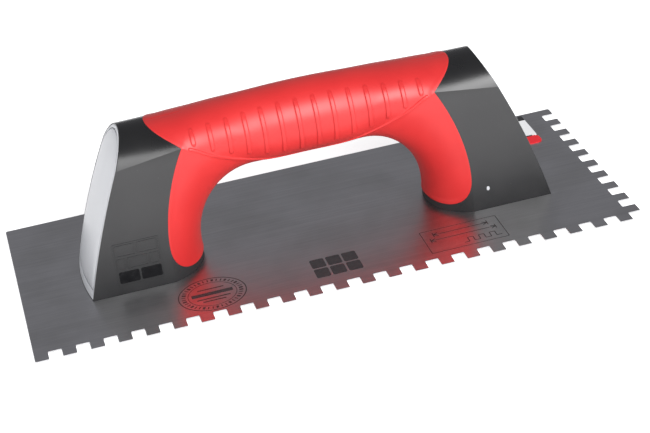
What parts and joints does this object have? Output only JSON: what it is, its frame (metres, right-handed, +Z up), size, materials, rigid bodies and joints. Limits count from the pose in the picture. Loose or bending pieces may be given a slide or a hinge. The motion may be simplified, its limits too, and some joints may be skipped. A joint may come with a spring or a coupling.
{
  "type": "notched trowel",
  "caption": "Notched trowel: thin steel blade with square teeth on one long and one short edge, under a closed two-legged grip.",
  "frame": {"origin": "middle of the blade's underside", "axes": "+X along the blade towards the toothed short edge, -Y towards the toothed long edge, +Z up through the handle"},
  "size_m": [0.28, 0.12, 0.0756],
  "materials": {
    "blade_steel": "brushed along the length, with a soft mirror",
    "black_plastic": "fine-grained moulded polypropylene",
    "red_rubber": "satin overmoulded elastomer",
    "grey_plastic": "smooth light grey moulding",
    "zinc_steel": "bright zinc plate",
    "label_film": "printed film"
  },
  "bodies": {
    "root": {"blade": "blade_steel", "blade_label": "label_film", "handle_core": "black_plastic", "grip_sleeve": "red_rubber", "end_cap_left": "grey_plastic", "end_cap_right": "grey_plastic", "end_panel_left": "grey_plastic", "end_panel_right": "grey_plastic", "weld_stud_left_outer": "zinc_steel", "weld_stud_left_inner": "zinc_steel", "weld_stud_right_inner": "zinc_steel", "weld_stud_right_outer": "zinc_steel", "washer_left_outer": "zinc_steel", "washer_left_inner": "zinc_steel", "washer_right_inner": "zinc_steel", "washer_right_outer": "zinc_steel", "nut_left_outer": "zinc_steel", "nut_left_inner": "zinc_steel", "nut_right_inner": "zinc_steel", "nut_right_outer": "zinc_steel"}
  },
  "joints": []
}
